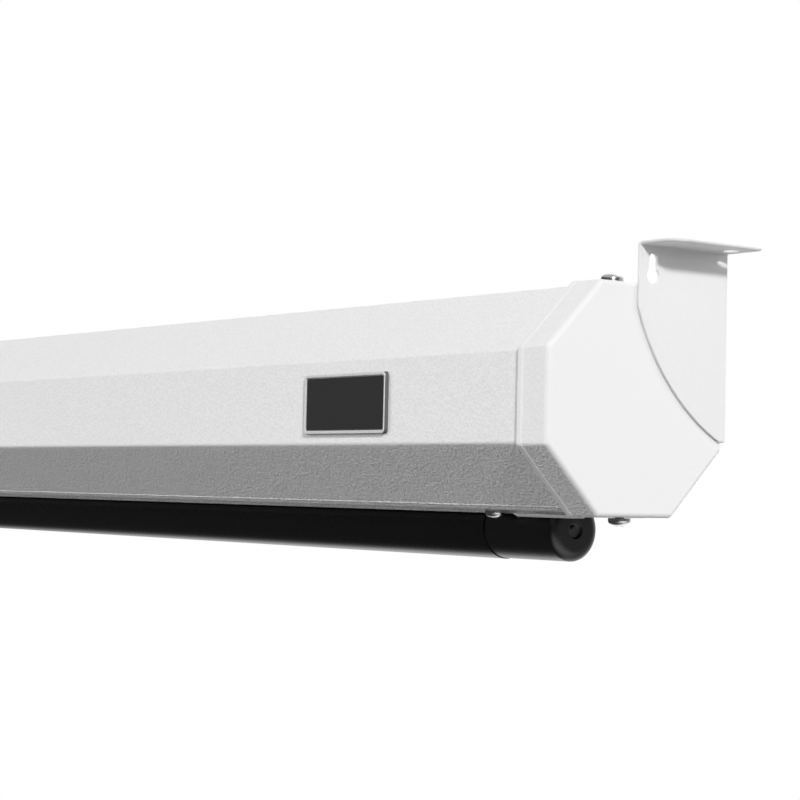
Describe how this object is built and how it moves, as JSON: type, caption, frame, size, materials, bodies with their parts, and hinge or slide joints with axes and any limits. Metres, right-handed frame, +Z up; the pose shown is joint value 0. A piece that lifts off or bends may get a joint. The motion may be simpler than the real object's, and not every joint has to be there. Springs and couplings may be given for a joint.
{
  "type": "motorized projector screen",
  "caption": "Wall or ceiling projector screen: octagonal case, end caps, hanging brackets, tubular motor, roller, fabric and round weight bar.",
  "frame": {"origin": "middle of the screen's length, on the wall plane (the brackets' rear edges) and in the plane of the two flange tops: the line where wall and ceiling would meet", "axes": "+X along the case to the right of a viewer, +Y towards the wall, +Z up"},
  "size_m": [2.159, 0.09, 0.1208],
  "materials": {
    "case_paint": "white powder coat with a fine orange-peel grain",
    "cap_plastic": "satin white moulded plastic",
    "bracket_paint": "smooth white powder coat on folded steel",
    "zinc_plate": "bright zinc plate",
    "screw_chrome": "nickel-plated screw heads",
    "motor_steel": "plain drawn steel",
    "natural_nylon": "uncoloured nylon",
    "tube_aluminium": "extruded aluminium with fine draw lines",
    "screen_fabric": "matte white screen vinyl with black borders and back",
    "hem_rod_glassfibre": "glass-fibre rod",
    "head_plastic": "black moulded nylon",
    "limit_brass": "turned brass",
    "grommet_rubber": "black rubber",
    "bar_paint": "satin black paint",
    "plug_plastic": "black moulded plastic, finely textured",
    "badge_metal": "bright silver rim",
    "badge_black": "plain black panel, no lettering"
  },
  "bodies": {
    "case": {"case_shell": "case_paint", "end_cap_right": "cap_plastic", "end_cap_left": "cap_plastic", "hanger_bracket_right": "bracket_paint", "hanger_bracket_left": "bracket_paint", "idler_bracket": "zinc_plate", "motor_bracket": "zinc_plate", "bracket_nut_upper_right": "zinc_plate", "bracket_nut_lower_right": "zinc_plate", "bracket_nut_upper_left": "zinc_plate", "bracket_nut_lower_left": "zinc_plate", "cap_screw_top_right": "screw_chrome", "cap_screw_bottom_right": "screw_chrome", "lip_screw_right": "screw_chrome", "cap_screw_top_left": "screw_chrome", "cap_screw_bottom_left": "screw_chrome", "lip_screw_left": "screw_chrome", "idler_pin": "motor_steel", "motor_tube": "motor_steel", "motor_head": "head_plastic", "cable_grommet": "grommet_rubber", "badge_frame": "badge_metal", "badge_panel": "badge_black", "fabric_strip": "screen_fabric"},
    "roller": {"roller_tube": "tube_aluminium", "fabric_roll": "screen_fabric", "idler_bush": "natural_nylon", "idler_plug": "natural_nylon", "crown_ring": "natural_nylon", "drive_wheel": "natural_nylon", "drive_screw": "motor_steel", "motor_shaft": "motor_steel"},
    "weight_bar": {"weight_bar_tube": "bar_paint", "bar_plug_right": "plug_plastic", "bar_plug_left": "plug_plastic", "hem_rod": "hem_rod_glassfibre", "fabric_hem": "screen_fabric"},
    "up_limit_screw": {"limit_screw_up": "limit_brass"},
    "down_limit_screw": {"limit_screw_down": "limit_brass"}
  },
  "joints": [
    {"name": "screen_drop", "type": "slide", "parent": "case", "child": "weight_bar", "axis": [0, 0, -1], "range_m": [0, 1.2], "deforming": ["fabric_strip"]},
    {"name": "roller_spin", "type": "hinge", "parent": "case", "child": "roller", "pos_m": [0, -0.06349, -0.059], "axis": [-1, 0, 0], "range_deg": [0, 3570]},
    {"name": "up_limit_turn", "type": "hinge", "parent": "case", "child": "up_limit_screw", "pos_m": [-1.04845, -0.05641, -0.07335], "axis": [0, 0.4425, -0.8968], "continuous": true},
    {"name": "down_limit_turn", "type": "hinge", "parent": "case", "child": "down_limit_screw", "pos_m": [-1.04095, -0.05641, -0.07335], "axis": [0, 0.4425, -0.8968], "continuous": true}
  ],
  "couplings": [
    {"joint": "roller_spin", "follows": "screen_drop", "rad_per_m": 51.861}
  ]
}
